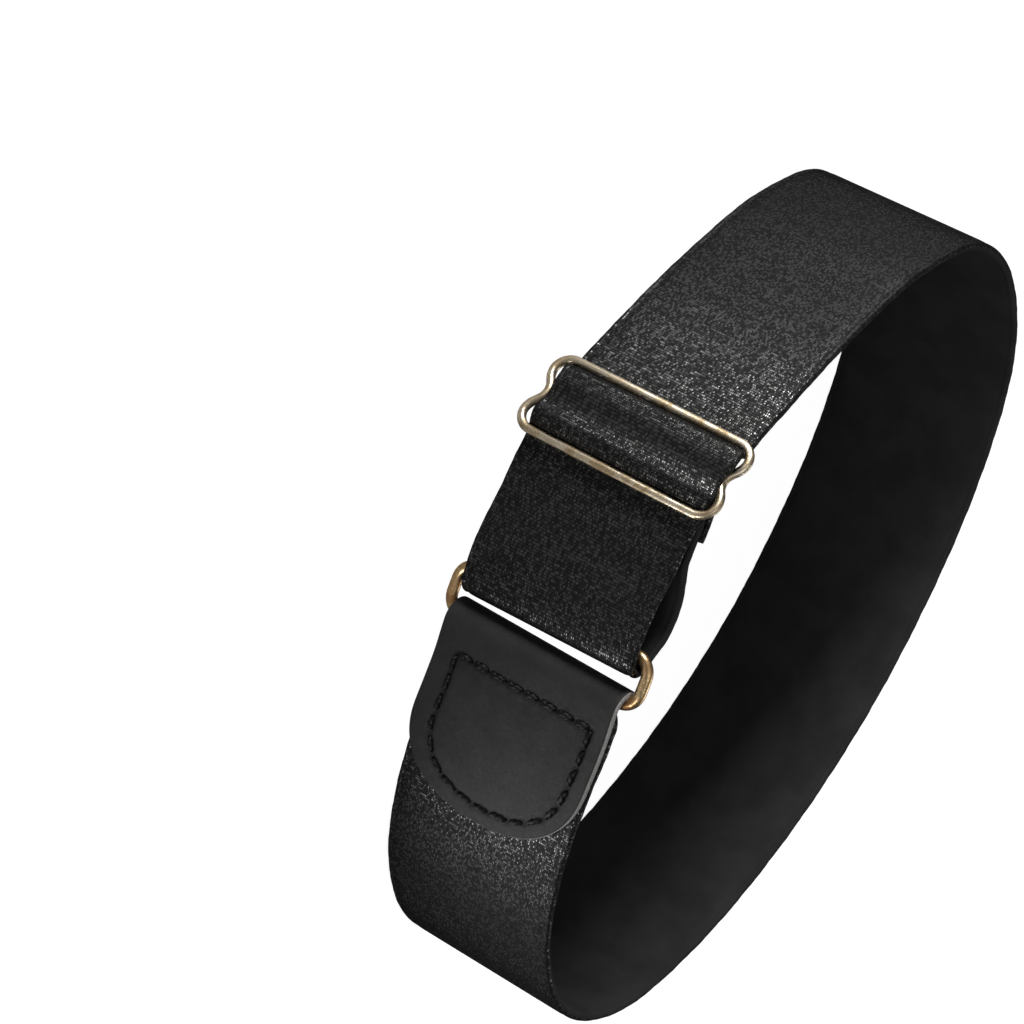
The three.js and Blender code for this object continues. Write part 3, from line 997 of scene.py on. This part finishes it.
def dent_at(spot, holes):
    """How far the stitches draw the leather in at a spot, as a share of the whole dent."""
    line = math.inf
    for first, second in zip(holes, holes[1:] + holes[:1]):
        run = second - first
        share = min(1.0, max(0.0, (spot - first).dot(run) / run.length_squared))
        line = min(line, (spot - first - run * share).length)
    hole = min((spot - hole).length for hole in holes)
    return sum(
        share * math.exp(-((distance / width) ** 2))
        for distance, (share, width) in ((line, LINE_DENT), (hole, HOLE_DENT))
    )


def leather_shift(x, height):
    """How far the leather lies off square, most of it at its fold."""
    return (LEATHER_SHIFT - height * LEATHER_SKEW) * (1 - smooth(TAB_SIDE_START, TAB_SIDE_END, x))


def make_tab_mesh(shape, holes, settings):
    """The leather's mesh, with its raw edge and its stitch dents as attributes; the dent attribute paints
    shade into the leather's colour.
    """
    mesh = bmesh.new()
    edge_layer = mesh.verts.layers.float.new("cut_edge")
    dent_layer = mesh.verts.layers.float.new("stitch_dent")
    rows = []
    for along in shape.rows():
        point, outward = shape.route.at(along)
        middle = (point.z + point.w) / 2
        width = shape.half_width(along)
        front, back = [], []
        for column in shape.columns():
            height = column * width
            rim = shape.from_edge(along, height)
            half = LEATHER_THICKNESS / 2 * ramp(LEATHER_PROFILE, rim)
            dent = dent_at(Vector((point.x, height)), holes)
            skew = leather_shift(point.x, height)
            for side, store in ((1, front), (-1, back)):
                spot = point.xy - outward * (side * (half - dent * settings.dent / MM))
                vert = mesh.verts.new(Vector((spot.x + skew, spot.y, middle + height)) * MM)
                vert[edge_layer] = max(0.0, 1 - rim / RAW_EDGE_DEPTH)
                vert[dent_layer] = min(1.0, dent)
                store.append(vert)
        rows.append(front + back[::-1])
    loft(mesh, rows, False)
    return mesh_data("leather_fold", mesh)


class GARTER_OT_make_tab(bpy.types.Operator):
    """Makes the leather tab folded round the ring, drawn in along its stitches"""

    bl_idname = "garter.make_tab"
    bl_label = "Make leather tab"

    def execute(self, context):
        settings = context.scene.garter_tab
        _, shape, holes = plan_tab(settings)
        tab = new_piece("leather_fold", make_tab_mesh(shape, holes, settings))
        tab.data.materials.append(leather_material(settings))
        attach(tab, body_of_garter())
        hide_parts("leather_tab")
        return {"FINISHED"}


def stitch_template(length, size):
    """One stitch along +X with its crest up +Z: a stretched ball with sunk ends."""
    bpy.ops.object.select_all(action="DESELECT")
    bpy.ops.mesh.primitive_uv_sphere_add(
        segments=STITCH_SEGMENTS, ring_count=STITCH_RINGS, radius=0.5, rotation=(0, math.pi / 2, 0)
    )
    ball = bpy.context.active_object
    bpy.ops.object.transform_apply(location=False, rotation=True, scale=False)
    for vert in ball.data.vertices:
        share = vert.co.x * 2
        twist = 1 + TWIST_DEPTH * math.sin(share * TWIST_TURNS + math.atan2(vert.co.z, vert.co.y) * 2)
        scale = math.sqrt(1 + share**2) * size * twist
        vert.co.y *= scale
        vert.co.z = vert.co.z * scale + size * (STITCH_CREST - STITCH_DROP * share**4)
        vert.co.x = share * length / 2
    data = ball.data.copy()
    bpy.data.objects.remove(ball)
    return data


def place_stitches(name, template, frames):
    """One object of many stitches, each a copy of the template at its own frame."""
    mesh = bmesh.new()
    generator = random.Random(len(frames))
    for place in frames:
        copy = template.copy()
        uneven = Matrix.Diagonal([generator.uniform(*STITCH_STRETCH) for _ in range(3)]).to_4x4()
        roll = Matrix.Rotation(generator.uniform(-STITCH_ROLL, STITCH_ROLL), 4, "X")
        copy.transform(place @ roll @ uneven)
        mesh.from_mesh(copy)
        bpy.data.meshes.remove(copy)
    return new_piece(name, mesh_data(name, mesh))


def frame_between(first, second, outward):
    """Place of a stitch between two points in millimetres, on a face that looks outward."""
    along = (second - first).normalized()
    up = (outward - along * outward.dot(along)).normalized()
    place = Matrix((along, up.cross(along), up)).transposed().to_4x4()
    place.translation = (first + second) / 2 * MM
    return place


def thread_ends(shape, hole, sink):
    """Where the thread enters the front and the back at a hole, and the way that the front looks."""
    point, outward = shape.route.at(shape.along_at(hole.x))
    outward = -outward.to_3d()
    middle = Vector((point.x + leather_shift(point.x, hole.y), point.y, (point.z + point.w) / 2 + hole.y))
    if hole.x < shape.route.points[-1].x - FLAP_MARGIN:
        depth = shape.offset * 2 + LEATHER_THICKNESS / 2 - sink
    else:
        depth = shape.offset + BAND_THICKNESS / 2 - sink * BARE_SINK
    return middle + outward * (LEATHER_THICKNESS / 2 - sink), middle - outward * depth, outward


def tab_stitch_frames(shape, holes, settings):
    """Places of the stitches on the tab's front, then on its back."""
    generator = random.Random(STITCH_SEED)
    sink = settings.dent / MM * STITCH_SINK
    ends = [thread_ends(shape, hole, sink) for hole in holes]
    front, back = [], []
    for first, second in zip(ends, ends[1:] + ends[:1]):
        for side, store, sign in ((0, front, 1), (1, back, -1)):
            gap = (second[side] - first[side]) * STITCH_GAP
            gap += UP * generator.uniform(-STITCH_JITTER, STITCH_JITTER)
            store.append(frame_between(first[side] + gap, second[side] - gap, second[2] * sign))
    return front + back


def end_stitch_frames(band):
    """Places of the upright row of stitches behind the slider, at the band's sewn end."""
    last, outward = band.at(band.length - END_STITCH_INSET)
    behind = outward.to_3d() * math.copysign(1, outward.y)
    foot = Vector((last.x, last.y, last.z + END_STITCH_START))
    foot += behind * (BAND_THICKNESS / 2 - END_STITCH_SINK)
    spots = [foot + UP * (END_STITCH_PITCH * i) for i in range(END_STITCHES)]
    half = UP * END_STITCH_HALF
    return [frame_between(spot - half, spot + half, behind) for spot in spots]


class GARTER_OT_make_stitches(bpy.types.Operator):
    """Sews the tab round its outline, front and back, and the band's end behind the slider"""

    bl_idname = "garter.make_stitches"
    bl_label = "Make stitches"

    def execute(self, context):
        settings = context.scene.garter_tab
        band, shape, holes = plan_tab(settings)
        template = stitch_template(settings.stitch_pitch * STITCH_FILL, settings.thread_size)
        thread = thread_material(settings)
        for name, frames in (
            ("tab_stitches", tab_stitch_frames(shape, holes, settings)),
            ("band_end_stitches", end_stitch_frames(band)),
        ):
            stitches = place_stitches(name, template, frames)
            stitches.data.materials.append(thread)
            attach(stitches, body_of_garter())
        return {"FINISHED"}


def make_camera(settings):
    """The camera, turned so that its target lies where it does in the picture."""
    data = bpy.data.cameras.new("camera")
    data.lens = FOCAL_PIXELS * SENSOR / PICTURE_SIZE
    data.sensor_width = SENSOR
    data.clip_start, data.clip_end = SIGHT
    across, down = TARGET_IN_PICTURE
    sight = Vector((across - PICTURE_SIZE / 2, PICTURE_SIZE / 2 - down, -FOCAL_PIXELS))
    swing = sight.rotation_difference(-UP).to_matrix()
    tilt = Matrix.Rotation(math.pi / 2 - settings.elevation, 3, "X")
    place = (tilt @ Matrix.Rotation(settings.roll, 3, "Z") @ swing).to_4x4()
    place.translation = Vector(CAMERA_TARGET) * MM + tilt.col[2] * settings.distance
    camera = new_piece("camera", data)
    camera.matrix_world = place
    bpy.context.scene.camera = camera


def camera_sees(tree, output, seen, lights):
    """Shows the camera one shader and lights everything else with another."""
    camera_ray = add(tree, "LightPath").outputs["Is Camera Ray"]
    choice = add(tree, "MixShader", {0: camera_ray, 1: lights.outputs[0], 2: seen.outputs[0]})
    fill(tree, output, {"Surface": choice.outputs[0]})


def make_floor(settings):
    """A floor that is nearly white to the camera and lights the garter as its own colour does."""
    bpy.ops.mesh.primitive_plane_add(size=settings.floor_size)
    floor = bpy.context.active_object
    floor.name = "floor"
    material = bpy.data.materials.new("floor")
    tree, output = bare_tree(material, "ShaderNodeOutputMaterial")
    glow = add(tree, "Emission", {"Color": WHITE, "Strength": FLOOR_GLOW})
    grey = add(tree, "BsdfDiffuse", {"Color": shade(WHITE[:3], FLOOR_GREY)})
    shown = add(tree, "AddShader", {0: glow.outputs[0], 1: grey.outputs[0]})
    bounce = add(tree, "BsdfDiffuse", {"Color": shade(settings.floor_colour)})
    camera_sees(tree, output, shown, bounce)
    floor.data.materials.append(material)


def make_world():
    """A room that is white to the camera and dim to the garter, brighter in front and above."""
    world = bpy.data.worlds.new("studio")
    tree, output = bare_tree(world, "ShaderNodeOutputWorld")
    direction = add(tree, "TexCoord").outputs["Generated"]
    parts = add(tree, "SeparateXYZ", {"Vector": direction}).outputs
    front = spread(tree, parts["Y"], *FRONT_LIGHT)
    above = spread(tree, parts["Z"], *ABOVE_LIGHT)
    dim = add(tree, "Background", {"Color": WHITE, "Strength": calc(tree, "ADD", front, above)})
    seen = add(tree, "Background", {"Color": WHITE, "Strength": 1.0})
    camera_sees(tree, output, seen, dim)
    bpy.context.scene.world = world


def area_lamp(name, place, width, height, power, turn):
    bpy.ops.object.light_add(type="AREA", location=place, rotation=turn)
    lamp = bpy.context.active_object
    lamp.name = name
    lamp.data.shape = "RECTANGLE"
    lamp.data.size = width
    lamp.data.size_y = height
    lamp.data.energy = power
    return lamp


def make_lamps():
    """Softboxes that face the garter, and panels that face up, which the camera doesn't see."""
    for name, place, width, height, power in SOFTBOXES:
        towards = Vector(SOFTBOX_TARGET) - Vector(place)
        area_lamp(name, place, width, height, power, towards.to_track_quat("-Z", "Y").to_euler())
    for name, place, width, depth, power in PANELS:
        area_lamp(name, place, width, depth, power, (math.pi, 0, 0)).visible_camera = False


class GARTER_OT_make_stage(bpy.types.Operator):
    """Makes the camera, the pale floor, the softboxes and the room"""

    bl_idname = "garter.make_stage"
    bl_label = "Make stage"

    def execute(self, context):
        settings = context.scene.garter_stage
        make_camera(settings)
        make_floor(settings)
        make_world()
        make_lamps()
        context.scene.view_settings.view_transform = "Standard"
        return {"FINISHED"}


class GARTER_PT_panel(bpy.types.Panel):
    """Lists the garter's pieces and their settings"""

    bl_idname = "GARTER_PT_panel"
    bl_label = "Sleeve garter"
    bl_space_type = "VIEW_3D"
    bl_region_type = "UI"
    bl_category = "Garter"

    def draw(self, context):
        for group, *steps in (
            ("band", "band"),
            ("fastenings", "slider", "ring"),
            ("tab", "tab", "stitches"),
            ("stage", "stage"),
        ):
            box = self.layout.box()
            settings = getattr(context.scene, "garter_" + group)
            for name in settings.__annotations__:
                box.prop(settings, name)
            for step in steps:
                box.operator("garter.make_" + step)


SETTINGS = {
    "garter_band": BandSettings,
    "garter_fastenings": FasteningSettings,
    "garter_tab": TabSettings,
    "garter_stage": StageSettings,
}
CLASSES = (
    *SETTINGS.values(),
    GARTER_OT_make_band,
    GARTER_OT_make_slider,
    GARTER_OT_make_ring,
    GARTER_OT_make_tab,
    GARTER_OT_make_stitches,
    GARTER_OT_make_stage,
    GARTER_PT_panel,
)


def register():
    for item in CLASSES:
        bpy.utils.register_class(item)
    for name, item in SETTINGS.items():
        setattr(bpy.types.Scene, name, PointerProperty(type=item))


def unregister():
    for name in SETTINGS:
        delattr(bpy.types.Scene, name)
    for item in reversed(CLASSES):
        bpy.utils.unregister_class(item)


def main():
    register()
    bpy.ops.garter.make_stage()
    bpy.ops.garter.make_band()
    bpy.ops.garter.make_slider()
    bpy.ops.garter.make_ring()
    bpy.ops.garter.make_tab()
    bpy.ops.garter.make_stitches()


if __name__ == "__main__":
    main()
